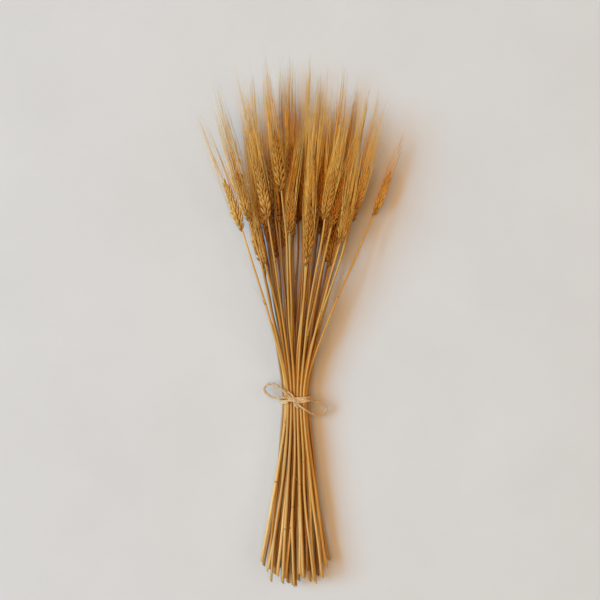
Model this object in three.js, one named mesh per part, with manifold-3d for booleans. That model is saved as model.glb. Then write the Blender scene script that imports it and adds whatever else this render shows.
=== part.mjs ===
// A bundle of dried bearded barley, tied round its stems with twine and lying on a flat surface.
// Millimetres. +Y runs up the stalks from the tie to the ears, +X is to their right and +Z is up.
// The origin is on the surface, at the flat underside of the twine's first turn.
import * as THREE from "three";
import { mergeVertices } from "three/addons/utils/BufferGeometryUtils.js";
import Module from "manifold-3d";

const wasm = await Module();
wasm.setup();

const GAP = 0.3; // left between pieces that touch
const TWINE_RADIUS = 1.1;
const TWINE_PRESS = 0.3; // how far the turns are flattened where they lie on the surface
const STEM_RADIUS = { cut: 1.95, tie: 1.82, neck: 1.1 }; // a stem at its cut end, the tie and the ear
const STEM_PITCH = 3.7; // between stem axes across one layer at the tie
const LAYERS = [7, 8, 9, 8, 7, 6]; // stalks in each layer, from the surface upwards
const LAYER_RISE = { cut: 4.7, tie: 3.75, ear: 8.9 }; // between layers at the cut ends, tie and ears
const TWINE_OFF = STEM_RADIUS.tie + GAP + TWINE_RADIUS + 0.75; // from the outer stems' axes to the twine's
const LOWEST = { cut: STEM_RADIUS.cut + 0.2, tie: TWINE_RADIUS - TWINE_PRESS + TWINE_OFF, ear: 4.5 };

// Where the fan of stalks reaches: half its width and its middle's shift to the right, for each layer.
// The ears' fan is measured at this height above the tie.
const FAN_HEIGHT = 230;
const SPREAD_HEIGHT = 165; // by this height the layers have spread to their full rise
const EAR_FAN = { half: [49, 58, 63, 58, 80, 50], shift: [3, 5, 7, 3, 14, 0] };
const CUT_FAN = { half: [30, 35, 39, 33, 31, 23], shift: [-2, 1, -2, -3, 0, 8] };
const EAR_TOP = 257; // height of the highest ears' feet above the tie, in the middle of the fan
const EAR_DOME = 34; // how much lower they are at the fan's edges
const CUT_LENGTH = 214; // the longest stems below the tie
const CUT_DOME = 18; // how much shorter they are at the edges
const BEND = { above: 45, below: 30 }; // over this length a stem bends out of the tie into its fan

// Some stalks are placed one by one, in the front two layers all of them: the ear's foot, right of and
// above the tie, how far the ear nods to the right of its stem, its length, its awns' length, the cut end,
// right of and above the tie, whether the ear lies edge on, and how far it sags. The rest follow the fan.
const PLACED_STALKS = {
  2: { 0: [-53, 214, -0.04, 66, 104, -37, -197] },
  3: { 2: [-20, 212, -0.02, 64, 98, -17, -214, true] },
  4: [
    [-64, 204, -0.06, 62, 84, -41, -191], [-36, 163, 0, 50, 80, -32, -199, true],
    [-8, 199, 0.19, 58, 88, -22, -208], [16, 233, -0.02, 62, 92, -10, -211],
    [42, 208, 0.08, 63, 84, 5, -206], [70, 228, -0.04, 54, 80, 25, -217],
    [93, 222, -0.09, 54, 52, 36, -197, false, 22],
  ],
  5: [
    [-56, 216, -0.03, 58, 98, -29, -214], [-33, 216, -0.06, 71, 104, -16, -216],
    [-17, 249, -0.075, 74, 99, -3, -220], [13, 162, -0.06, 80, 86, 8.5, -210],
    [34, 216, 0.07, 60, 88, 20, -213], [52, 188, -0.11, 52, 84, 31, -209],
  ],
};
const SAG_START = 60; // a stalk that sags begins to at this height, and ends at its ear's foot
const NECK_BEND = 25; // over this length an ear nods out of its stem's line

// Park and Miller's generator, so that the bundle is the same each time.
let seed = 20417;
function draw(low, high) {
  seed = (seed * 16807) % 2147483647;
  return low + ((high - low) * seed) / 2147483647;
}

// How far along its bend a stem is at height y: 0 at the tie and 1 at the height end.
function bent(y, end, length) {
  return (Math.hypot(y, length) - length) / (Math.hypot(end, length) - length);
}

// One stalk's places: its axis at the tie, the foot of its ear and its cut end.
function planStalk(layer, index) {
  const count = LAYERS[layer];
  const across = index - (count - 1) / 2;
  const share = across / ((count - 1) / 2);
  const stagger = (index + layer) % 2;
  const tie = across * STEM_PITCH;
  const foot = EAR_TOP - EAR_DOME * share ** 2 - 40 * stagger - draw(0, 46);
  const fan = EAR_FAN.shift[layer] + EAR_FAN.half[layer] * share + draw(-1.5, 1.5);
  const plan = {
    name: `stalk_${layer + 1}_${index + 1}`,
    layer,
    tie,
    radius: STEM_RADIUS.tie - draw(0, 0.06),
    ear: [
      tie + (fan - tie) * bent(foot, FAN_HEIGHT, BEND.above),
      foot,
    ],
    cut: [
      CUT_FAN.shift[layer] + CUT_FAN.half[layer] * share + draw(-2.5, 2.5),
      CUT_DOME * share ** 2 - CUT_LENGTH + draw(-9, 9),
    ],
    earLength: draw(60, 70),
    awnLength: draw(92, 106),
    nod: draw(-0.01, 0.01) - 0.09 * share,
    edgeOn: draw(0, 1) < 0.25 && layer > 0,
    sag: 0,
  };
  const own = PLACED_STALKS[layer]?.[index];
  if (own) {
    [plan.ear[0], plan.ear[1], plan.nod, plan.earLength, plan.awnLength] = own;
    [plan.cut[0], plan.cut[1], plan.edgeOn = false, plan.sag = 0] = own.slice(5);
  }
  return plan;
}

// How high a layer's axes lie at height y along the bundle.
function rise(layer, y) {
  const [end, share] = y > 0
    ? ["ear", Math.min(1, bent(y, SPREAD_HEIGHT, BEND.above))]
    : ["cut", bent(y, CUT_LENGTH, BEND.below)];
  const at = (place) => LOWEST[place] + layer * LAYER_RISE[place];
  return at("tie") + (at(end) - at("tie")) * share;
}

// The stalk's axis, as its x and z at height y.
function axisAt(plan, y) {
  const [reach, end, length] = y > 0 ? [...plan.ear, BEND.above] : [...plan.cut, BEND.below];
  const nodded = Math.hypot(Math.max(0, y - plan.ear[1]), NECK_BEND) - NECK_BEND;
  const sagged = Math.min(1, Math.max(0, y - SAG_START) / (plan.ear[1] - SAG_START));
  return {
    x: plan.tie + (reach - plan.tie) * bent(y, end, length) + plan.nod * nodded,
    z: rise(plan.layer, y) - (plan.sag * (1 - Math.cos(Math.PI * sagged))) / 2,
  };
}

// A closed geometry as a solid for joining and cutting.
function solidOf(geometry) {
  geometry.deleteAttribute("normal");
  geometry.deleteAttribute("uv");
  const merged = mergeVertices(geometry, 1e-3);
  const corners = merged.index.array;
  const kept = [];
  for (let i = 0; i < corners.length; i += 3) {
    const [a, b, c] = corners.slice(i, i + 3);
    if (a !== b && b !== c && c !== a) kept.push(a, b, c);
  }
  return new wasm.Manifold(
    new wasm.Mesh({
      numProp: 3,
      vertProperties: merged.attributes.position.array,
      triVerts: new Uint32Array(kept),
    }),
  );
}

// The solid without the slivers that joining leaves.
function cleaned(solid, tolerance) {
  const bodies = solid.simplify(tolerance).decompose();
  return bodies.sort((a, b) => b.volume() - a.volume())[0];
}

function geometryOf(solid) {
  const mesh = solid.getMesh();
  const geometry = new THREE.BufferGeometry();
  geometry.setAttribute("position", new THREE.BufferAttribute(mesh.vertProperties, 3));
  geometry.setIndex(new THREE.BufferAttribute(mesh.triVerts, 1));
  geometry.computeVertexNormals();
  return geometry;
}

// A closed skin round a stalk's axis, through rings from its lower end to its upper one. A ring's shape
// takes a point of the unit circle to its place across, above and along the axis.
function skin(plan, rings, sides) {
  const geometry = new THREE.LatheGeometry(rings.map((ring, i) => new THREE.Vector2(1, i)), sides);
  const position = geometry.attributes.position;
  for (let i = 0; i < position.count; i++) {
    const ring = rings[Math.round(position.getY(i))];
    const [across, above, along = 0] = ring.shape(position.getX(i), position.getZ(i));
    position.setXYZ(i, ...placed(plan, across, above, ring.y + along));
  }
  return solidOf(geometry);
}

// A point beside the stalk's axis, square to it. An ear that lies edge on is turned a quarter round, and
// pressed flat.
function placed(plan, across, above, y) {
  const axis = axisAt(plan, y);
  const slope = axisAt(plan, y + 1).x - axis.x;
  const [cos, sin] = [1 / Math.hypot(1, slope), slope / Math.hypot(1, slope)];
  const [a, b] = plan.edgeOn && y > plan.ear[1] ? [above, -across * EDGE_ON_DEPTH] : [across, above];
  return [axis.x + a * cos, y - a * sin, axis.z + b];
}

const EDGE_ON_DEPTH = 0.66; // of the ear's width
const point = () => [0, 0];
const circle = (radius) => (x, z) => [x * radius, z * radius];

// The straw, from its cut end to the ear's foot.
const STALK_SIDES = 6;
const TIE_REACH = 15; // a stem keeps one thickness this far above and below the tie
const STEM_STATIONS = [-60, -TIE_REACH, TIE_REACH, 70];
function strawRings(plan) {
  const [foot, cut] = [plan.ear[1], plan.cut[1]];
  const stations = STEM_STATIONS.map((y) => {
    const [far, end] = y < 0 ? [STEM_RADIUS.cut, cut] : [STEM_RADIUS.neck, foot];
    const share = Math.max(0, Math.abs(y) - TIE_REACH) / Math.abs(end);
    return { y, shape: circle(plan.radius + (far - plan.radius) * share) };
  });
  return [
    { y: cut, shape: point },
    { y: cut, shape: circle(STEM_RADIUS.cut) },
    ...stations,
    { y: foot, shape: circle(STEM_RADIUS.neck) },
  ];
}

// Spikelets stand left and right of the rachis in turn. Each one widens from its root up to its shoulder,
// which overhangs the root of the next, and a groove runs between the two columns.
const SPIKELETS = 9;
const SPIKELET = { root: 2.4, shoulder: 6.6, rootDepth: 2.5, depth: 3.8, groove: 3, overhang: 0.45 };
function earPitch(plan) {
  return (plan.earLength - 5) / SPIKELETS;
}
// Spikelets grow from small ones at the ear's foot to the widest a quarter way up, and narrow from there.
function spikeletSize(k) {
  const share = k / SPIKELETS;
  const grown = 0.55 + 0.45 * Math.sin((Math.PI / 2) * Math.min(1, share / 0.25));
  return grown * (1 - 0.55 * Math.max(0, share - 0.25));
}
function earRings(plan) {
  const pitch = earPitch(plan);
  const rings = [];
  for (let k = 0; k < SPIKELETS; k++) {
    const size = spikeletSize(k);
    const shape = (x, z) => {
      const side = Math.abs(x) < 0.1 ? 0 : Math.sign(x);
      if (!side) return [0, z * SPIKELET.groove * size];
      if ((k % 2 ? 1 : -1) !== side) return [side * SPIKELET.root, Math.sign(z) * SPIKELET.rootDepth * size];
      const lift = pitch * SPIKELET.overhang;
      return [side * SPIKELET.shoulder * size, Math.sign(z) * SPIKELET.depth * size, lift];
    };
    rings.push({ y: plan.ear[1] + pitch * (k + 1), shape });
  }
  rings.push({ y: plan.ear[1] + plan.earLength, shape: point });
  return rings;
}

// An awn grows from inside a spikelet's shoulder and runs on past the ear.
const AWNS = 6;
const AWN_RADIUS = 0.5;
const AWN_SIDES = 3;
function awn(plan, k) {
  const side = k % 2 ? 1 : -1;
  const from = plan.ear[1] + earPitch(plan) * (k + 1);
  const start = SPIKELET.shoulder * spikeletSize(k) - 1.1;
  const [out, up] = [draw(-1.8, 1.8), draw(-2.6, 2.6)];
  const length = plan.awnLength * draw(0.9, 1.06);
  const ring = (share, radius) => ({
    y: from + length * share,
    shape: (x, z) => [x * radius + side * (start + out * share), z * radius + up * share],
  });
  return skin(plan, [ring(0, 0), ring(0, AWN_RADIUS), ring(1, 0)], AWN_SIDES);
}

function stalk(plan) {
  let solid = skin(plan, [...strawRings(plan), ...earRings(plan)], STALK_SIDES);
  for (let k = SPIKELETS - AWNS; k < SPIKELETS; k++) solid = solid.add(awn(plan, k));
  return cleaned(solid, 0.08);
}

// The twine's path: the stems' outline at the tie, kept one twine radius and the gap clear of them.
const HULL = [[5, -1], [2, -1], [0, -1], [0, 1], [2, 1], [5, 1]]; // layer and side
function outline() {
  const corners = HULL.map(([layer, side]) => [
    (side * (LAYERS[layer] - 1) * STEM_PITCH) / 2,
    LOWEST.tie + layer * LAYER_RISE.tie,
  ]);
  const outward = (p, q) => Math.atan2(p[0] - q[0], q[1] - p[1]);
  return corners.flatMap((here, i) => {
    const from = outward(corners.at(i - 1), here);
    const sweep = (outward(here, corners[(i + 1) % corners.length]) - from + 4 * Math.PI) % (2 * Math.PI);
    return [0, 0.5, 1].map((share) => {
      const angle = from + sweep * share;
      return [here[0] + TWINE_OFF * Math.cos(angle), here[1] + TWINE_OFF * Math.sin(angle)];
    });
  });
}

const TWINE_SIDES = 6;
function tube(points, steps) {
  const section = new THREE.Shape();
  for (let i = 0; i < TWINE_SIDES; i++) {
    const angle = ((i + 0.5) * 2 * Math.PI) / TWINE_SIDES;
    const corner = [TWINE_RADIUS * Math.cos(angle), TWINE_RADIUS * Math.sin(angle)];
    if (i) section.lineTo(...corner);
    else section.moveTo(...corner);
  }
  const path = new THREE.CatmullRomCurve3(points.map((p) => new THREE.Vector3(...p)), false, "centripetal");
  return solidOf(new THREE.ExtrudeGeometry(section, { extrudePath: path, steps }));
}

// How high twine lies where it rests on the stems at this place.
function restingHeight(plans, x, y) {
  const reach = STEM_RADIUS.cut + GAP + TWINE_RADIUS + 0.6;
  const heights = plans.map((plan) => {
    const axis = axisAt(plan, y);
    const aside = Math.max(0, Math.abs(x - axis.x) - 4);
    return aside < reach ? axis.z + Math.sqrt(reach ** 2 - aside ** 2) : 0;
  });
  return Math.max(...heights);
}

// Two turns round the stems, and a bow tied on top of them. Where the bow's points have no height they
// rest on the stems.
const TURN_PITCH = 2.3;
const TURNS = 2;
const TURN_TILT = 0.08; // how steeply the turns rise to the right
const KNOT = [-1.8, 0.4, LOWEST.tie + 5 * LAYER_RISE.tie + 4.4];
const BOW = {
  leftLoop: [
    KNOT, [-7.6, 5.4], [-13.2, 10.8], [-19.5, 16.4], [-28.9, 20.4, 15], [-36, 17.6, 12.5],
    [-37.9, 12.4, 11.5], [-31, 5.6, 14.5], [-24.4, 3.6, 18.5], [-15.6, 4.4], [-7.4, 3.2], KNOT,
  ],
  rightLoop: [
    KNOT, [6.4, -1.2], [13.7, 0.2], [20.4, -0.4], [29, -2.4, 15], [35.4, -7.8, 12],
    [35, -13.6, 11], [28, -17.6, 13], [19.6, -15.4], [10.4, -9.8], [4, -5.2], KNOT,
  ],
  lowerTail: [KNOT, [-1.2, -3.2], [0.4, -6], [3, -8.4]],
  upperTail: [KNOT, [-3, 4.6], [-5.8, 8.2], [-9.8, 11.6]],
};
function twineTie(plans) {
  const once = outline();
  const all = Array.from({ length: TURNS }, () => once).flat();
  all.push(once[0]);
  const lengths = [0];
  all.slice(1).forEach((p, i) => lengths.push(lengths[i] + Math.hypot(p[0] - all[i][0], p[1] - all[i][1])));
  const total = lengths.at(-1);
  const lowest = total / TURNS / 2; // how far along the first turn passes under the stems
  const turns = all.map(([x, z], i) => {
    const along = ((lengths[i] - lowest) / total) * TURNS * TURN_PITCH;
    return [x, along + TURN_TILT * x, z];
  });
  let solid = tube(turns, 60);
  const knot = new THREE.SphereGeometry(1, 8, 6).scale(3.3, 2.7, 2.1).translate(...KNOT);
  solid = solid.add(solidOf(knot));
  for (const [name, points] of Object.entries(BOW)) {
    const path = points.map(([x, y, z]) => [x, y, z ?? restingHeight(plans, x, y)]);
    solid = solid.add(tube(path, name.endsWith("Loop") ? 19 : 3));
  }
  const surface = new THREE.BoxGeometry(120, 60, 20).translate(0, 0, -10);
  return cleaned(solid.subtract(solidOf(surface)), 0.08);
}

const straw = new THREE.MeshStandardMaterial({ color: 0xc8964e, roughness: 0.62, metalness: 0 });
const jute = new THREE.MeshStandardMaterial({ color: 0xc9a277, roughness: 0.9, metalness: 0 });

const bundle = new THREE.Group();
function add(name, solid, material) {
  const mesh = new THREE.Mesh(geometryOf(solid), material);
  mesh.name = name;
  bundle.add(mesh);
}
const plans = LAYERS.flatMap((count, layer) => Array.from({ length: count }, (_, i) => planStalk(layer, i)));
for (const plan of plans) add(plan.name, stalk(plan), straw);
add("twine_tie", twineTie(plans), jute);

export default bundle;
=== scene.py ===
import math

import bmesh
import bpy
from mathutils import Matrix, Vector


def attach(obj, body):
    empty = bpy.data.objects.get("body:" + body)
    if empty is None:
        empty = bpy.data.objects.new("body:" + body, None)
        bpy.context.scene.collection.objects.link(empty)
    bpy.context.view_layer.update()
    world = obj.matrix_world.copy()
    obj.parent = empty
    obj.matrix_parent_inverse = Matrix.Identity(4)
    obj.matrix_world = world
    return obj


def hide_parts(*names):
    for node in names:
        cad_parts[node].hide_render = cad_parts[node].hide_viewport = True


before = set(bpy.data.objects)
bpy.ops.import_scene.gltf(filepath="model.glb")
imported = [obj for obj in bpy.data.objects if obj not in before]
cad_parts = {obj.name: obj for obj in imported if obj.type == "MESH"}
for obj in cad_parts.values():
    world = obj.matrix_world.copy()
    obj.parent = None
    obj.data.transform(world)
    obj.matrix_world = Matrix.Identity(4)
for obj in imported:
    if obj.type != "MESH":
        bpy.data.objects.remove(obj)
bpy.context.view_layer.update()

# ---------------------------------------------------------------------------------------------
# The camera hangs straight above the bundle, with the ears at the top of its view. It is far off,
# behind a long lens, so that the raised ears aren't much larger than the cut ends.
VIEW_MIDDLE = (0.0048, 0.120)
VIEW_WIDTH = 0.72
CAMERA_HEIGHT = 2.4
SENSOR = 36.0

camera = bpy.data.objects.new("overhead_camera", bpy.data.cameras.new("overhead_camera"))
camera.data.sensor_width = SENSOR
camera.data.lens = SENSOR * CAMERA_HEIGHT / VIEW_WIDTH
camera.location = (*VIEW_MIDDLE, CAMERA_HEIGHT)
bpy.context.collection.objects.link(camera)
bpy.context.scene.camera = camera


# ---------------------------------------------------------------------------------------------
# The table is a pale painted board, a little mottled. A large cool lamp is the window at its left,
# and a warm one overhead and a weak one at the right are the room, so that shadows glow orange.
class Value:
    """A number in a shader: arithmetic on it adds Math nodes."""

    def __init__(self, tree, socket):
        self.tree = tree
        self.socket = socket

    def _math(self, operation, *values):
        return self.tree.node("ShaderNodeMath", {"operation": operation}, dict(enumerate(values)))

    def __add__(self, other):
        return self._math("ADD", self, other)

    def __mul__(self, other):
        return self._math("MULTIPLY", self, other)

    __radd__ = __add__
    __rmul__ = __mul__


class Finish:
    """A new material with one Principled shader, and the nodes that feed it."""

    def __init__(self, name, roughness, specular):
        self.material = bpy.data.materials.new(name)
        self.material.use_nodes = True
        self.nodes = self.material.node_tree.nodes
        self.links = self.material.node_tree.links
        self.shader = self.nodes["Principled BSDF"]
        self.shader.inputs["Roughness"].default_value = roughness
        self.shader.inputs["Specular IOR Level"].default_value = specular

    def node(self, kind, settings=None, inputs=None, output=0):
        node = self.nodes.new(kind)
        for name, setting in (settings or {}).items():
            if name == "stops":
                ramp = node.color_ramp.elements
                while len(ramp) < len(setting):
                    ramp.new(0.5)
                for stop, (place, colour) in zip(ramp, setting):
                    stop.position = place
                    stop.color = (*colour, 1)
            else:
                setattr(node, name, setting)
        for socket, value in (inputs or {}).items():
            self.feed(node.inputs[socket], value)
        return Value(self, node.outputs[output])

    def feed(self, socket, value):
        if isinstance(value, Value):
            self.links.new(value.socket, socket)
        elif isinstance(value, tuple) and len(value) == 3 and socket.type == "RGBA":
            socket.default_value = (*value, 1)
        else:
            socket.default_value = value

    def scaled(self, vector, scale):
        return self.node("ShaderNodeVectorMath", {"operation": "MULTIPLY"}, {0: vector, 1: scale})

    def noise(self, vector, scale, detail=3.0, roughness=0.5):
        inputs = {"Vector": vector, "Scale": scale, "Detail": detail, "Roughness": roughness}
        return self.node("ShaderNodeTexNoise", None, inputs)

    def stretch(self, value, low, high):
        inputs = {"Value": value, "From Min": low, "From Max": high}
        return self.node("ShaderNodeMapRange", None, inputs)

    def ramp(self, value, *stops):
        return self.node("ShaderNodeValToRGB", {"stops": stops}, {"Fac": value})

    def mix(self, share, first, second, blend="MIX"):
        inputs = {0: share, 6: first, 7: second}
        return self.node("ShaderNodeMix", {"data_type": "RGBA", "blend_type": blend}, inputs, 2)

    def bump(self, height, distance, strength=1.0):
        inputs = {"Height": height, "Distance": distance, "Strength": strength}
        self.wear("Normal", self.node("ShaderNodeBump", None, inputs))

    def wear(self, socket, value):
        self.links.new(value.socket, self.shader.inputs[socket])


def object_place(finish):
    return finish.node("ShaderNodeTexCoord", None, None, 3)


TABLE_SIZE = 4.0
TABLE_PALE = (0.74, 0.725, 0.705)
TABLE_DUSK = (0.70, 0.685, 0.665)
LIT_PLACE = (0, 0.1, 0)  # what the lamps point at
ROOM_COLOUR, ROOM_STRENGTH = (1.0, 0.72, 0.45, 1), 0.12

paint = Finish("table_paint", roughness=0.85, specular=0.2)
where = object_place(paint)
clouds = paint.noise(where, scale=6.0, detail=5.0, roughness=0.6)
cloudy = paint.stretch(clouds, 0.3, 0.7)
paint.wear("Base Color", paint.mix(cloudy, TABLE_DUSK, TABLE_PALE))
paint.bump(paint.noise(where, scale=420.0, detail=2.0), distance=0.0002, strength=0.25)

bm = bmesh.new()
bmesh.ops.create_grid(bm, x_segments=1, y_segments=1, size=TABLE_SIZE / 2)
table_mesh = bpy.data.meshes.new("table_top")
bm.to_mesh(table_mesh)
bm.free()
table_mesh.materials.append(paint.material)
table = bpy.data.objects.new("table_top", table_mesh)
bpy.context.collection.objects.link(table)


def lamp(name, place, size, watts, colour):
    data = bpy.data.lights.new(name, "AREA")
    data.shape = "DISK"
    data.size = size
    data.energy = watts
    data.color = colour
    light = bpy.data.objects.new(name, data)
    light.location = place
    aim = Vector(LIT_PLACE) - Vector(place)
    light.rotation_euler = aim.to_track_quat("-Z", "Y").to_euler()
    bpy.context.collection.objects.link(light)


lamp("window_light", (-9.2, 0.36, 7.7), size=7.6, watts=1640, colour=(0.32, 0.70, 1.0))
lamp("warm_bounce", (-2.4, 0.1, 11.0), size=10.0, watts=755, colour=(1.0, 0.55, 0.21))
lamp("far_wall", (8.0, 0.4, 7.6), size=8.0, watts=210, colour=(1.0, 0.86, 0.70))

world = bpy.data.worlds.new("soft_room")
world.use_nodes = True
room = world.node_tree.nodes["Background"]
room.inputs["Color"].default_value = ROOM_COLOUR
room.inputs["Strength"].default_value = ROOM_STRENGTH
bpy.context.scene.world = world
bpy.context.scene.view_settings.view_transform = "Standard"

# ---------------------------------------------------------------------------------------------
# A dried stalk is one grown piece: a hollow golden straw with a joint or two, and at its top a
# flat ear of husks in two columns, whose bristly awns run on past it in a narrow brush.
# The stalks lie in layers and fan out from the tie, up to the ears and down to the cut ends.
STEM_CUT, STEM_TIE, STEM_NECK = 1.95, 1.82, 1.1  # radii in millimetres, as all of this section
STEM_PITCH = 3.7
LAYERS = [7, 8, 9, 8, 7, 6]
LAYER_RISE = {"cut": 4.7, "tie": 3.75, "ear": 8.9}
TWINE_RADIUS, TWINE_PRESS, GAP = 1.1, 0.3, 0.3
TWINE_OFF = STEM_TIE + GAP + TWINE_RADIUS + 0.75
LOWEST = {"cut": STEM_CUT + 0.2, "tie": TWINE_RADIUS - TWINE_PRESS + TWINE_OFF, "ear": 4.5}
FAN_HEIGHT, SPREAD_HEIGHT = 230, 165
EAR_FAN = {"half": [49, 58, 63, 58, 80, 50], "shift": [3, 5, 7, 3, 14, 0]}
CUT_FAN = {"half": [30, 35, 39, 33, 31, 23], "shift": [-2, 1, -2, -3, 0, 8]}
EAR_TOP, EAR_DOME = 257, 34
EAR_STAGGER, EAR_SCATTER = 40, 46  # every other ear is lower, and each by a draw as well
CUT_LENGTH, CUT_DOME = 214, 18
BEND_ABOVE, BEND_BELOW, NECK_BEND = 45, 30, 25
# Some stalks are placed one by one, by layer and place in it: the ear's foot, nod and length, the
# awns' length, the cut end, if the ear is edge on, and how far it sags. The rest follow the fan.
PLACED_STALKS = {
    (2, 0): (-53, 214, -0.04, 66, 104, -37, -197, False, 0),
    (3, 2): (-20, 212, -0.02, 64, 98, -17, -214, True, 0),
    (4, 0): (-64, 204, -0.06, 62, 84, -41, -191, False, 0),
    (4, 1): (-36, 163, 0, 50, 80, -32, -199, True, 0),
    (4, 2): (-8, 199, 0.19, 58, 88, -22, -208, False, 0),
    (4, 3): (16, 233, -0.02, 62, 92, -10, -211, False, 0),
    (4, 4): (42, 208, 0.08, 63, 84, 5, -206, False, 0),
    (4, 5): (70, 228, -0.04, 54, 80, 25, -217, False, 0),
    (4, 6): (93, 222, -0.09, 54, 52, 36, -197, False, 22),
    (5, 0): (-56, 216, -0.03, 58, 98, -29, -214, False, 0),
    (5, 1): (-33, 216, -0.06, 71, 104, -16, -216, False, 0),
    (5, 2): (-17, 249, -0.075, 74, 99, -3, -220, False, 0),
    (5, 3): (13, 162, -0.06, 80, 86, 8.5, -210, False, 0),
    (5, 4): (34, 216, 0.07, 60, 88, 20, -213, False, 0),
    (5, 5): (52, 188, -0.11, 52, 84, 31, -209, False, 0),
}
SAG_START = 60  # a stalk that sags begins to at this height, and ends at its ear's foot
FRONT_LAYER = 4  # from this layer upwards all stalks are placed one by one
FACTOR, MODULUS = 16807, 2147483647  # of Park and Miller's generator
PLAN_SEED, STALK_SEED, TWINE_SEED = 20417, 15485863, 91


class Chance:
    """The same run of even random numbers each time."""

    def __init__(self, seed):
        self.seed = seed

    def draw(self, low, high):
        self.seed = (self.seed * FACTOR) % MODULUS
        return low + (high - low) * self.seed / MODULUS


chance = Chance(PLAN_SEED)


def bent(y, end, length):
    """How far along its bend a stem is at height y: 0 at the tie and 1 at the height end."""
    return (math.hypot(y, length) - length) / (math.hypot(end, length) - length)


def plan_stalk(layer, index):
    count = LAYERS[layer]
    across = index - (count - 1) / 2
    share = across / ((count - 1) / 2)
    tie = across * STEM_PITCH
    lower = EAR_STAGGER * ((index + layer) % 2)
    foot = EAR_TOP - EAR_DOME * share**2 - lower - chance.draw(0, EAR_SCATTER)
    fan = EAR_FAN["shift"][layer] + EAR_FAN["half"][layer] * share + chance.draw(-1.5, 1.5)
    plan = {
        "name": f"stalk_{layer + 1}_{index + 1}",
        "layer": layer,
        "tie": tie,
        "radius": STEM_TIE - chance.draw(0, 0.06),
        "ear": (tie + (fan - tie) * bent(foot, FAN_HEIGHT, BEND_ABOVE), foot),
        "cut": (
            CUT_FAN["shift"][layer] + CUT_FAN["half"][layer] * share + chance.draw(-2.5, 2.5),
            CUT_DOME * share**2 - CUT_LENGTH + chance.draw(-9, 9),
        ),
        "ear_length": chance.draw(60, 70),
        "awn_length": chance.draw(92, 106),
        "nod": chance.draw(-0.01, 0.01) - 0.09 * share,
        "edge_on": chance.draw(0, 1) < 0.25 and layer > 0,
        "sag": 0,
    }
    if (layer, index) in PLACED_STALKS:
        x, y, nod, ear_length, awn_length, cut_x, cut_y, edge_on, sag = PLACED_STALKS[layer, index]
        plan |= {"ear": (x, y), "nod": nod, "ear_length": ear_length, "awn_length": awn_length}
        plan |= {"cut": (cut_x, cut_y), "edge_on": edge_on, "sag": sag}
    return plan


def rise(layer, y):
    """The height of a layer's stems over the table."""
    end, share = "cut", bent(y, CUT_LENGTH, BEND_BELOW)
    if y > 0:
        end, share = "ear", min(1, bent(y, SPREAD_HEIGHT, BEND_ABOVE))
    at_tie = LOWEST["tie"] + layer * LAYER_RISE["tie"]
    return at_tie + (LOWEST[end] + layer * LAYER_RISE[end] - at_tie) * share


def axis_at(plan, y):
    """The middle of a stalk at height y above the tie."""
    (reach, end), length = (plan["ear"], BEND_ABOVE) if y > 0 else (plan["cut"], BEND_BELOW)
    nodded = math.hypot(max(0, y - plan["ear"][1]), NECK_BEND) - NECK_BEND
    x = plan["tie"] + (reach - plan["tie"]) * bent(y, end, length) + plan["nod"] * nodded
    sagged = min(1, max(0, y - SAG_START) / (plan["ear"][1] - SAG_START))
    fallen = plan["sag"] * (1 - math.cos(math.pi * sagged)) / 2
    return Vector((x, y, rise(plan["layer"], y) - fallen))


def beside(plan, across, along, above):
    """A point beside a stalk's axis. Across lies in the layer and square to the axis."""
    here = axis_at(plan, along)
    run = axis_at(plan, along + 1) - here
    run.z = 0
    run.normalize()
    return here + Vector((run.y * across, -run.x * across, above))


def spun(name, profile, sides):
    """A closed skin turned about Y through (radius, height) pairs that end on the axis."""
    skin = bmesh.new()
    line = [skin.verts.new((radius, height, 0)) for radius, height in profile]
    edges = [skin.edges.new(pair) for pair in zip(line, line[1:])]
    turn = {"cent": (0, 0, 0), "axis": (0, 1, 0), "angle": 2 * math.pi, "steps": sides}
    bmesh.ops.spin(skin, geom=line + edges, use_merge=True, **turn)
    bmesh.ops.remove_doubles(skin, verts=skin.verts, dist=1e-6)
    bmesh.ops.recalc_face_normals(skin, faces=skin.faces)
    mesh = bpy.data.meshes.new(name)
    skin.to_mesh(mesh)
    skin.free()
    return mesh


# Unit shapes: a straw, an awn and a leaf are one long, a husk is one wide, one deep and one long.
STRAW_STEPS, LEAF_STEPS = 52, 10
STRAW_BORE = [(0, 0.012), (0.62, 0.012), (0.66, 0)]
STRAW_WALL = [(1, k / STRAW_STEPS) for k in range(STRAW_STEPS + 1)]
JOINT_PROFILE = [(0, 0), (0.95, 0), (1.06, 0.3), (1.08, 0.5), (1.06, 0.7), (0.95, 1), (0, 1)]
AWN_PROFILE = [
    (0, 0), (0.5, 0), (0.75, 0.1), (1, 0.3), (0.9, 0.5), (0.7, 0.68), (0.42, 0.86), (0, 1),
]
LEAF_EDGE = [(1 - 0.7 * (k / LEAF_STEPS) ** 2, k / LEAF_STEPS) for k in range(LEAF_STEPS)]
HUSK_PROFILE = [
    (0, 0), (0.55, 0.07), (0.93, 0.22), (1, 0.38), (0.8, 0.58), (0.46, 0.77), (0.17, 0.91), (0, 1),
]
GLUME_PROFILE = [(0, 0), (0.75, 0.16), (1, 0.42), (0.5, 0.78), (0, 1)]
straw_shape = spun("straw_shape", STRAW_BORE + STRAW_WALL + [(0, 1)], 10)
joint_shape = spun("joint_shape", JOINT_PROFILE, 10)
awn_shape = spun("awn_shape", AWN_PROFILE, 3)
leaf_shape = spun("leaf_shape", [(0, 0)] + LEAF_EDGE + [(0, 1)], 6)
husk_shape = spun("husk_shape", HUSK_PROFILE, 7)
glume_shape = spun("glume_shape", GLUME_PROFILE, 6)

STRAW, HUSK, AWN, JOINT = 0, 1, 2, 3  # material slots of a stalk
METRES = 0.001  # in a millimetre


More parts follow.
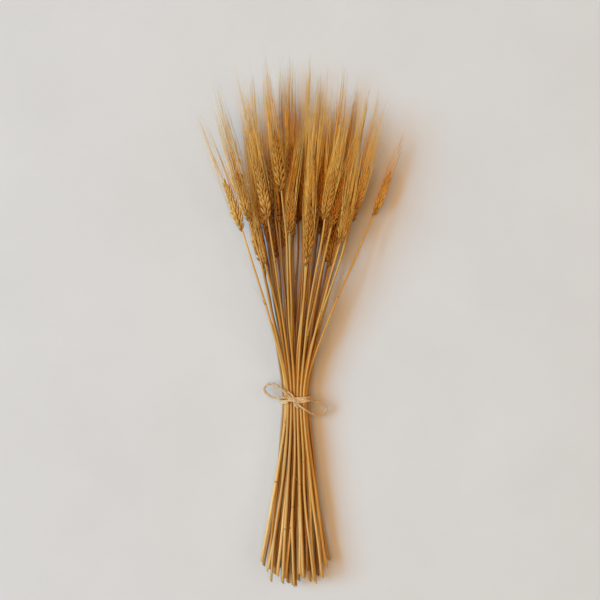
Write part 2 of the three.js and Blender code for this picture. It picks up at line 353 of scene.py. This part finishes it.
class Growth:
    """A stalk's mesh as it grows. Each vertex keeps its place on the part it belongs to, unbent."""

    def __init__(self):
        self.bm = bmesh.new()
        self.unbent = self.bm.verts.layers.float_vector.new("unbent")
        self.tone = self.bm.verts.layers.float.new("tone")

    def add(self, shape, place, tone, slot, scale):
        vert_count, face_count = len(self.bm.verts), len(self.bm.faces)
        self.bm.from_mesh(shape)
        self.bm.verts.ensure_lookup_table()
        self.bm.faces.ensure_lookup_table()
        for vert in self.bm.verts[vert_count:]:
            vert[self.unbent] = Vector(a * b for a, b in zip(vert.co, scale))
            vert[self.tone] = tone
            vert.co = place(vert.co)
        for face in self.bm.faces[face_count:]:
            face.material_index = slot
            face.smooth = True

    def finish(self, name, materials):
        mesh = bpy.data.meshes.new(name)
        bmesh.ops.scale(self.bm, vec=(METRES, METRES, METRES), verts=self.bm.verts)
        self.bm.to_mesh(mesh)
        self.bm.free()
        for material in materials:
            mesh.materials.append(material)
        piece = bpy.data.objects.new(name, mesh)
        bpy.context.collection.objects.link(piece)
        return piece


SWAY_LENGTHS = (37, 15)  # a straw wavers in a long swing and a short one
JOINTLESS, LEAFY = 0.4, 0.5  # the share of joint places left bare, and of joints with a leaf
SAGGED_LIT_TONE = 0.9  # a stalk that sags is painted at least this pale: painted light on it, where the bundle's shadow falls


def grow_straw(growth, plan, luck):
    """The straw narrows from its cut end to the ear, and may show the ring of a joint or two."""
    foot, cut = plan["ear"][1], plan["cut"][1]
    top = foot + 0.8 * plan["ear_length"]
    joints = [luck.draw(-170, -35), luck.draw(55, foot - 30)]
    sway = [luck.draw(-2.2, 2.2), luck.draw(-0.3, 0.3)]
    phase = luck.draw(0, 6.28)
    tie_radius = plan["radius"] * luck.draw(0.72, 1.0)
    cut_radius = STEM_CUT * luck.draw(0.62, 1.12)
    slant = luck.draw(-0.7, 0.7)  # of the cut across the straw's end

    def radius_at(y):
        if y < 0:
            return tie_radius + (cut_radius - tie_radius) * min(1, y / cut)
        radius = tie_radius + (STEM_NECK - tie_radius) * min(1, y / foot)
        return radius * (1 - 0.45 * max(0, y - foot) / (top - foot))

    def on_straw(across, y, above):
        calm = min(1, max(0, abs(y) - 10) / 80) * min(1, max(0, foot - y) / 50)
        swing, quiver = SWAY_LENGTHS
        waver = sway[0] * math.sin(y / swing + phase) + sway[1] * math.sin(y / quiver)
        return beside(plan, across + waver * calm, y, above)

    def place(unit):
        y = cut + (top - cut) * unit.y
        aslant = slant * unit.x * STEM_CUT * max(0, 1 - 30 * unit.y)
        return on_straw(unit.x * radius_at(y), y + aslant, -unit.z * radius_at(y))

    # Stalks in the lower layers are painted darker, as painted shade where the layers above shade
    # them. Beyond that, a stalk's tone differs at random.
    if plan["layer"] < FRONT_LAYER:
        tone = luck.draw(0, 1) * (0.35 + 0.1 * plan["layer"])
    else:
        tone = luck.draw(0.3, 1)
    # The stalk that sags is painted pale: painted light on it, where it lies in the bundle's
    # shadow.
    if plan["sag"]:
        tone = max(tone, SAGGED_LIT_TONE)
    growth.add(straw_shape, place, tone, STRAW, (2, top - cut, 2))
    for joint in joints:
        if luck.draw(0, 1) < JOINTLESS:
            continue
        tall = luck.draw(1.8, 2.8)

        def ring(unit):
            radius = radius_at(joint)
            return on_straw(unit.x * radius, joint + tall * unit.y, -unit.z * radius)

        growth.add(joint_shape, ring, tone, JOINT, (2, tall, 2))
        if luck.draw(0, 1) < LEAFY:
            grow_leaf(growth, on_straw, luck, joint + tall, radius_at(joint), tone)
    return tone


def grow_leaf(growth, on_straw, luck, root, radius, tone):
    """What is left of a leaf clings to the straw above its joint, and its torn end curls away."""
    side = 1 if luck.draw(0, 1) < 0.5 else -1
    length, width = luck.draw(12, 30), luck.draw(0.7, 1.4)
    start, curl = luck.draw(-0.05, 0.1), luck.draw(0.2, 1.9)
    lift = luck.draw(0, 0.35)

    def place(unit):
        angle = start + curl * unit.y
        along = length * (math.sin(angle) - math.sin(start)) / curl
        out = length * (math.cos(start) - math.cos(angle)) / curl
        flat = unit.x * width
        across = side * (radius + 0.1 + out + unit.z * 0.12) + flat * math.sin(angle) * 0.4
        return on_straw(across, root + along, out * lift + flat)

    growth.add(leaf_shape, place, tone, HUSK, (width, length, 0.1))


SPIKELETS = 17
FLORET = (1.85, 10.8, 1.5)  # half its width, its length and half its depth
GLUME = (1.4, 7.6, 1.0)
# On each face of the ear a spikelet shows an inner and an outer floret: how far out and how far up
# its root lies, its height over the rachis, and how much more than the spikelet it leans out.
FLORETS = [(0.8, 1.6, 1.3, -0.2), (2.1, 0, 0.7, 0.04)]
SQUEEZE = {"flat": 0.92, "edge on": 0.66, "sagged": 0.72}  # of an ear's grown width
# How many florets carry an awn, how thick awns are, and how far out the few that stray go.
AWNED = {"outer": 0.85, "inner": 0.2, "on the face seen": 0.55}
AWN_RADIUS = {"front": (0.2, 0.36), "back": (0.26, 0.44)}
STRAY_SHARE, STRAY_LENGTH = 0.25, 0.88
STRAY_REACH = {"front": 4, "back": 9}


def spikelet_size(share):
    grown = 0.55 + 0.45 * math.sin(math.pi / 2 * min(1, share / 0.25))
    return grown * (1 - 0.45 * max(0, share - 0.25))


def grow_ear(growth, plan, luck, tone):
    """Spikelets stand left and right in turn, each with two florets and a glume on either face."""
    foot, length = plan["ear"][1], plan["ear_length"]
    twist = luck.draw(-0.3, 0.3) + (math.pi / 2 if plan["edge_on"] else 0)
    squeeze = SQUEEZE["edge on" if plan["edge_on"] else "sagged" if plan["sag"] else "flat"]
    depth_in_bundle = "front" if plan["layer"] >= FRONT_LAYER else "back"
    pitch = (length - 8) / SPIKELETS
    plump = luck.draw(0.95, 1.12)

    def on_ear(point):
        across, along, above = point
        flat = squeeze * across
        turned_across = flat * math.cos(twist) - above * math.sin(twist)
        turned_above = flat * math.sin(twist) + above * math.cos(twist)
        return beside(plan, turned_across, along, turned_above)

    def husk(shape, size, root, lean_out, lean_front, roll):
        frame_turn = (
            Matrix.Translation(root)
            @ Matrix.Rotation(-lean_out, 4, "Z")
            @ Matrix.Rotation(lean_front, 4, "X")
            @ Matrix.Rotation(roll, 4, "Y")
        )
        width, tall, depth = size

        def place(unit):
            keel = 1 + 0.22 * max(0, unit.z) ** 2
            curl = 0.8 * unit.y * (1 - unit.y)
            local = Vector((unit.x * width, unit.y * tall, unit.z * depth * keel + curl))
            return on_ear(frame_turn @ local)

        growth.add(shape, place, tone * 0.65 + luck.draw(0, 0.35), HUSK, size)
        return frame_turn @ Vector((0, tall, 0))

    def awn(tip, side, share):
        # It leaves along its husk, bows out and comes back in towards the ear's own line.
        tall = plan["awn_length"] * (0.84 + 0.16 * share) * luck.draw(0.82, 1.13)
        out = tip.x * luck.draw(0.2, 1.1) + luck.draw(-2.8, 2.8)
        if luck.draw(0, 1) < STRAY_SHARE:
            out += side * luck.draw(1, STRAY_REACH[depth_in_bundle])
            tall *= STRAY_LENGTH
        up = tip.z * 0.5 + luck.draw(-2.4, 2.4)
        bow = side * luck.draw(0.4, 2.6) * (1.1 - 0.6 * share)
        lift = luck.draw(-1, 1)
        radius = luck.draw(*AWN_RADIUS[depth_in_bundle])

        def place(unit):
            s = unit.y
            hump = 4 * s * (1 - s)
            across = tip.x + (out - tip.x) * s + bow * hump + unit.x * radius
            above = tip.z * max(0, 1 - 4 * s) + up * s + lift * hump + unit.z * radius
            return on_ear((across, tip.y - 1.2 + tall * s, above))

        growth.add(awn_shape, place, tone * 0.25 + luck.draw(0, 0.75), AWN, (1, tall, 1))

    for k in range(SPIKELETS + 1):
        share = k / SPIKELETS
        size = spikelet_size(share) * plump
        side = (1 if k % 2 else -1) if k < SPIKELETS else 0
        y = foot - 2.5 + pitch * k
        floret = tuple(size * n * luck.draw(0.9, 1.1) for n in FLORET)
        glume = tuple(size * n for n in GLUME)
        open_out = (0.44 - 0.25 * share) * luck.draw(0.78, 1.2)
        for face in (1, -1):
            flip = 0 if face > 0 else math.pi
            under = Vector((side * 1.3 * size, y - 1, face * 1.2 * size))
            husk(glume_shape, glume, under, side * open_out * 0.8, face * 0.1, flip)
            for out, up, above, lean in FLORETS:
                root = Vector((side * out * size, y + up, face * above * size))
                leaning = max(0.02, open_out + lean) * luck.draw(0.8, 1.2)
                roll = flip + side * face * 0.35
                forward = face * luck.draw(0.06, 0.2)
                tip = husk(husk_shape, floret, root, side * leaning, forward, roll)
                awned = AWNED["outer" if lean > 0 or share > 0.8 else "inner"]
                if luck.draw(0, 1) < awned * (AWNED["on the face seen"] if face > 0 else 1):
                    awn(tip, side, share)


def unbent_place(finish):
    return finish.node("ShaderNodeAttribute", {"attribute_name": "unbent"}, None, 1)


def along_of(finish, place):
    return finish.node("ShaderNodeSeparateXYZ", None, {0: place}, 1)


UPWARD_SHARE = 0.2  # how much the tint below follows the way up the bundle


def bleach_and_shade_of(finish, low, high, *stops):
    """A tint that changes across the bundle, from its left and cut ends to its right and ears. It
    is partly straw bleached paler on the left, and partly painted shade: the right of the bundle,
    away from the light, is painted darker and more orange.
    """
    where = object_place(finish)
    across, along = (finish.node("ShaderNodeSeparateXYZ", None, {0: where}, i) for i in (0, 1))
    far = finish.stretch(across + along * UPWARD_SHARE, low, high)
    return finish.ramp(far, (0.0, (1, 1, 1)), *stops)


def tone_of(finish):
    return finish.node("ShaderNodeAttribute", {"attribute_name": "tone"}, None, 2)


FINE = (0.28, 0.72)  # the middle of a noise's range, where its fine grain lies
PATCHY = (0.35, 0.7)  # and where its larger patches do

straw = Finish("dry_straw", roughness=0.42, specular=0.6)
grain = unbent_place(straw)
tone = tone_of(straw)
long_grain = straw.scaled(grain, (1.6, 0.035, 1.6))
fibres = straw.noise(long_grain, scale=1.0, detail=4.0, roughness=0.6)
patches = straw.noise(straw.scaled(grain, (0.25, 0.014, 0.25)), scale=1.0, detail=2.0)
weather = straw.stretch(patches, *PATCHY)
golden = straw.ramp(
    straw.stretch(fibres, *FINE),
    (0.0, (0.56, 0.29, 0.05)),
    (0.4, (0.94, 0.61, 0.17)),
    (1.0, (1.0, 0.92, 0.62)),
)
# The tone darkens the straw at random from stalk to stalk, and as painted shade on the lower
# layers.
tone_and_layer_shade = straw.ramp(
    tone,
    (0.0, (0.34, 0.22, 0.09)),
    (0.35, (0.72, 0.53, 0.27)),
    (0.7, (0.95, 0.81, 0.56)),
    (1.0, (1.0, 0.98, 0.98)),
)
coloured = straw.mix(1.0, golden, tone_and_layer_shade, "MULTIPLY")
# The straw is painted darker and more orange to the right of the bundle: partly bleach, partly
# painted shade.
bleach_and_shade = bleach_and_shade_of(straw, -0.05, 0.0, (1.0, (0.81, 0.65, 0.23)))
coloured = straw.mix(1.0, coloured, bleach_and_shade, "MULTIPLY")
straw.wear("Base Color", straw.mix(weather * 0.35, coloured, (0.47, 0.235, 0.045)))
straw.wear("Roughness", 0.32 + fibres * 0.24)
straw.bump(fibres, distance=0.0003, strength=0.5)

husk = Finish("dry_husk", roughness=0.55, specular=0.2)
grain = unbent_place(husk)
tone = tone_of(husk)
long_grain = husk.scaled(grain, (3.2, 0.12, 3.2))
nerves = husk.noise(long_grain, scale=1.0, detail=3.0, roughness=0.55)
patches = husk.noise(husk.scaled(grain, (0.4, 0.3, 0.4)), scale=1.0, detail=3.0)
spots = husk.stretch(patches, *PATCHY)
golden = husk.ramp(
    husk.stretch(nerves, *FINE),
    (0.0, (0.48, 0.22, 0.03)),
    (0.5, (1.0, 0.64, 0.14)),
    (0.9, (1.0, 0.96, 0.78)),
)
# Along its length a husk is painted much darker at its foot, as painted shade where it tucks in
# among the husks. It is a little darker at its tip, which is its own colour.
foot_shade_and_tip = husk.ramp(
    along_of(husk, grain) * 0.088,
    (0.0, (0.22, 0.13, 0.06)),
    (0.3, (0.74, 0.64, 0.50)),
    (0.7, (1.0, 1.0, 1.0)),
    (1.0, (0.92, 0.78, 0.58)),
)
# The tone darkens the husks at random from stalk to stalk, and as painted shade on the lower
# layers.
tone_and_layer_shade = husk.ramp(
    tone,
    (0.0, (0.50, 0.37, 0.20)),
    (0.5, (0.88, 0.79, 0.62)),
    (1.0, (1.0, 0.96, 0.88)),
)
coloured = husk.mix(1.0, husk.mix(1.0, golden, tone_and_layer_shade, "MULTIPLY"), foot_shade_and_tip, "MULTIPLY")
# The husks are painted darker and more orange to the right of the bundle, partly bleach and partly
# painted shade. At the bundle's far right they are paler again: painted light on the ear that sags
# into the bundle's shadow.
bleach_and_shade = bleach_and_shade_of(
    husk, -0.03, 0.14,
    (0.4, (0.76, 0.57, 0.24)),
    (0.8, (0.78, 0.60, 0.28)),
    (1.0, (1.0, 0.88, 0.54)),
)
coloured = husk.mix(1.0, coloured, bleach_and_shade, "MULTIPLY")
husk.wear("Base Color", husk.mix(spots * 0.25, coloured, (0.45, 0.22, 0.06)))
husk.wear("Roughness", 0.45 + nerves * 0.25)
husk.bump(nerves, distance=0.0004, strength=0.6)

bristle = Finish("dry_awn", roughness=0.5, specular=0.2)
tone = tone_of(bristle)
along = along_of(bristle, unbent_place(bristle))
# An awn is darker near the ear and paler out towards its tip.
paler_to_tip = bristle.stretch(along, 34, 84)
golden = bristle.ramp(
    tone,
    (0.0, (0.56, 0.25, 0.02)),
    (0.5, (1.0, 0.58, 0.085)),
    (1.0, (1.0, 0.86, 0.46)),
)
coloured = bristle.mix(paler_to_tip * 0.9, golden, (1.0, 0.79, 0.43))
# The awns are painted a little darker and more orange to the right of the bundle: partly bleach,
# partly painted shade.
bleach_and_shade = bleach_and_shade_of(bristle, -0.03, 0.05, (1.0, (0.98, 0.86, 0.56)))
bristle.wear("Base Color", bristle.mix(1.0, coloured, bleach_and_shade, "MULTIPLY"))

knuckle = Finish("straw_joint", roughness=0.6, specular=0.3)
grain = unbent_place(knuckle)
mottle = knuckle.noise(knuckle.scaled(grain, (0.9, 1.2, 0.9)), scale=1.0, detail=3.0)
knuckle.wear("Base Color", knuckle.mix(mottle, (0.30, 0.14, 0.035), (0.60, 0.36, 0.11)))
knuckle.bump(mottle, distance=0.0003, strength=0.5)

stalk_looks = [straw.material, husk.material, bristle.material, knuckle.material]
plans = [plan_stalk(layer, i) for layer, count in enumerate(LAYERS) for i in range(count)]
for number, plan in enumerate(plans):
    luck = Chance(STALK_SEED * (number + 1) % MODULUS)
    growth = Growth()
    grow_ear(growth, plan, luck, grow_straw(growth, plan, luck))
    stalk = growth.finish(f"{plan['name']}_grown", stalk_looks)
    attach(stalk, "root")
    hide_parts(plan["name"])

# ---------------------------------------------------------------------------------------------
# The twine is one length of jute, three strands twisted together. It goes twice round the stems
# and is tied on top of them in a small bow, with two loops and two short tails.
TURN_PITCH, TURNS = 2.3, 2
TURN_TILT = 0.08  # how steeply the turns rise to the right
TWINE_STEP, TWINE_LAY = 1.0, 7.5  # between rings along the twine, and a full twist of its strands
STRAND_RADIUS, STRAND_OFF = 0.84, 0.7
TOP_LAYER, WIDEST_LAYER = len(LAYERS) - 1, 2
KNOT = (-1.8, 0.4, LOWEST["tie"] + TOP_LAYER * LAYER_RISE["tie"] + 4.4)
# The routes of the loops and tails. A point with no height lies on the stems under it.
BOW = {
    "left_loop": [
        KNOT, (-7.6, 5.4), (-13.2, 10.8), (-19.5, 16.4), (-28.9, 20.4, 15), (-36, 17.6, 12.5),
        (-37.9, 12.4, 11.5), (-31, 5.6, 14.5), (-24.4, 3.6, 18.5), (-15.6, 4.4), (-7.4, 3.2), KNOT,
    ],
    "right_loop": [
        KNOT, (6.4, -1.2), (13.7, 0.2), (20.4, -0.4), (29, -2.4, 15), (35.4, -7.8, 12),
        (35, -13.6, 11), (28, -17.6, 13), (19.6, -15.4), (10.4, -9.8), (4, -5.2), KNOT,
    ],
    "lower_tail": [KNOT, (-1.2, -3.2), (0.4, -6), (3, -8.4)],
    "upper_tail": [KNOT, (-3, 4.6), (-5.8, 8.2), (-9.8, 11.6)],
}


LOOP_CLEAR, BRIDGED = 0.6, 4  # over the stems, and how far to its side a stem still holds it up


def resting_height(x, y):
    """How high the twine's axis is where it lies on the stems."""
    reach = STEM_CUT + GAP + TWINE_RADIUS + LOOP_CLEAR
    highest = 0
    for plan in plans:
        axis = axis_at(plan, y)
        aside = max(0, abs(x - axis.x) - BRIDGED)
        if aside < reach:
            highest = max(highest, axis.z + math.sqrt(reach**2 - aside**2))
    return highest


def round_the_stems():
    """The path of the turns: round the outline of the stems at the tie, and clear of them."""
    down = (TOP_LAYER, WIDEST_LAYER, 0)
    corners = [
        (side * (LAYERS[layer] - 1) * STEM_PITCH / 2, LOWEST["tie"] + layer * LAYER_RISE["tie"])
        for side, layers in ((-1, down), (1, reversed(down)))
        for layer in layers
    ]

    def outward(p, q):
        return math.atan2(p[0] - q[0], q[1] - p[1])

    once = []
    for i, here in enumerate(corners):
        start = outward(corners[i - 1], here)
        sweep = (outward(here, corners[(i + 1) % len(corners)]) - start) % (2 * math.pi)
        for angle in (start, start + sweep / 2, start + sweep):
            x, z = TWINE_OFF * math.cos(angle), TWINE_OFF * math.sin(angle)
            once.append((here[0] + x, here[1] + z))
    points = once * TURNS + once[:1]
    lengths = [0]
    for p, q in zip(points, points[1:]):
        lengths.append(lengths[-1] + math.dist(p, q))
    middle = lengths[-1] / TURNS / 2
    return [
        Vector((x, (run - middle) / lengths[-1] * TURNS * TURN_PITCH + TURN_TILT * x, z))
        for (x, z), run in zip(points, lengths)
    ]


CURVE_STEPS = 32  # between two points of a route


def smooth_path(points, spacing):
    """Evenly spaced places along a centripetal Catmull-Rom curve through the points."""
    ends = [2 * points[0] - points[1], *points, 2 * points[-1] - points[-2]]
    fine = [points[0]]
    for p0, p1, p2, p3 in zip(ends, ends[1:], ends[2:], ends[3:]):
        d0, d1, d2 = ((b - a).length ** 0.5 for a, b in ((p0, p1), (p1, p2), (p2, p3)))
        m1 = ((p1 - p0) / d0 - (p2 - p0) / (d0 + d1) + (p2 - p1) / d1) * d1
        m2 = ((p2 - p1) / d1 - (p3 - p1) / (d1 + d2) + (p3 - p2) / d2) * d1
        for k in range(1, CURVE_STEPS + 1):
            t = k / CURVE_STEPS
            ease = 3 * t**2 - 2 * t**3
            fine.append(p1 + (p2 - p1) * ease + m1 * (t**3 - 2 * t**2 + t) + m2 * (t**3 - t**2))
    total = sum((b - a).length for a, b in zip(fine, fine[1:]))
    count = max(2, round(total / spacing))
    even, run, wanted = [fine[0]], 0, total / count
    for a, b in zip(fine, fine[1:]):
        step = (b - a).length
        while len(even) < count and run + step >= wanted * len(even):
            even.append(a.lerp(b, (wanted * len(even) - run) / step))
        run += step
    return even + [fine[-1]]


def frames_along(path):
    """At each place on a path, two directions square to it that turn as little as they can."""
    runs_up = abs((path[1] - path[0]).normalized().y) >= 0.9
    side = Vector((1, 0, 0)) if runs_up else Vector((0, 1, 0))
    frames = []
    for i in range(len(path)):
        run = (path[min(i + 1, len(path) - 1)] - path[max(i - 1, 0)]).normalized()
        side = (side - run * side.dot(run)).normalized()
        frames.append((side, run.cross(side)))
    return frames


STRANDS = 3
FUZZ_DENSITY = 2.4  # loose fibres for each step along the twine
FUZZ_ROOT = 0.75  # where a fibre leaves the strands, out from the twine's axis


def lay_twine(growth, points, luck):
    """Three strands twist round each other along a smooth route, with loose fibres on them."""
    path = smooth_path(points, TWINE_STEP)
    frames = frames_along(path)
    steps = len(path) - 1
    strand_wall = [(1, k / steps) for k in range(steps + 1)]
    strand_shape = spun("strand_shape", [(0, 0)] + strand_wall + [(0, 1)], 6)
    for strand in range(STRANDS):
        phase = strand * math.tau / STRANDS + luck.draw(-0.2, 0.2)

        def place(unit):
            i = round(unit.y * steps)
            side, up = frames[i]
            angle = phase + math.tau * i * TWINE_STEP / TWINE_LAY
            x = math.cos(angle) * STRAND_OFF + unit.x * STRAND_RADIUS
            z = math.sin(angle) * STRAND_OFF - unit.z * STRAND_RADIUS
            point = path[i] + (side * x + up * z)
            point.z = max(point.z, 0)
            return point

        growth.add(strand_shape, place, luck.draw(0, 1), 0, (1, steps * TWINE_STEP, 1))
    for _ in range(round(len(path) * FUZZ_DENSITY)):
        grow_fuzz(growth, path, frames, luck)


fuzz_shape = spun("fuzz_shape", [(0, 0), (1, 0.01), (0.7, 0.35), (0.45, 0.7), (0, 1)], 3)


def grow_fuzz(growth, path, frames, luck):
    """A loose fibre stands out of the twine and bends back along it."""
    i = min(len(path) - 1, int(luck.draw(0, len(path))))
    side, up = frames[i]
    run = side.cross(up)
    angle = luck.draw(0, math.tau)
    out = side * math.cos(angle) + up * math.sin(angle)
    across = run.cross(out)
    length, swept, radius = luck.draw(0.8, 2.9), luck.draw(-1.8, 1.8), luck.draw(0.04, 0.075)

    def place(unit):
        reach = FUZZ_ROOT + length * unit.y
        thick = (across * unit.x + run * unit.z) * radius
        point = path[i] + out * reach + run * (swept * unit.y**2) + thick
        point.z = max(point.z, 0)
        return point

    growth.add(fuzz_shape, place, luck.draw(0.4, 1), 0, (0.1, length, 0.1))


jute = Finish("jute_twine", roughness=0.85, specular=0.25)
grain = unbent_place(jute)
long_grain = jute.scaled(grain, (2.6, 0.5, 2.6))
strands = jute.noise(long_grain, scale=1.0, detail=4.0, roughness=0.65)
golden = jute.ramp(
    jute.stretch(strands, *FINE),
    (0.0, (0.52, 0.32, 0.14)),
    (0.45, (0.84, 0.56, 0.29)),
    (1.0, (0.98, 0.76, 0.48)),
)
worn = jute.ramp(tone_of(jute), (0.0, (0.80, 0.74, 0.66)), (1.0, (1.0, 0.98, 0.94)))
jute.wear("Base Color", jute.mix(1.0, golden, worn, "MULTIPLY"))
jute.bump(strands, distance=0.0004, strength=0.8)

luck = Chance(TWINE_SEED)
tie = Growth()
lay_twine(tie, round_the_stems(), luck)
for points in BOW.values():
    route = [Vector((x, y, *(height or [resting_height(x, y)]))) for x, y, *height in points]
    lay_twine(tie, route, luck)
# The knot is a turn and a half of the twine over the roots of the loops.
KNOT_STEPS, KNOT_TURN = 12, 0.785  # steps, and the angle between two
KNOT_HALF, KNOT_LONG, KNOT_DEEP = 1.1, 1.75, 1.25
knot = []
for k in range(KNOT_STEPS + 1):
    along = -KNOT_HALF + 2 * KNOT_HALF * k / KNOT_STEPS
    round_it = (KNOT_LONG * math.cos(k * KNOT_TURN), KNOT_DEEP * math.sin(k * KNOT_TURN))
    knot.append(Vector(KNOT) + Vector((along, *round_it)))
lay_twine(tie, knot, luck)
bow = tie.finish("twine_bow", [jute.material])
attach(bow, "root")
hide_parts("twine_tie")
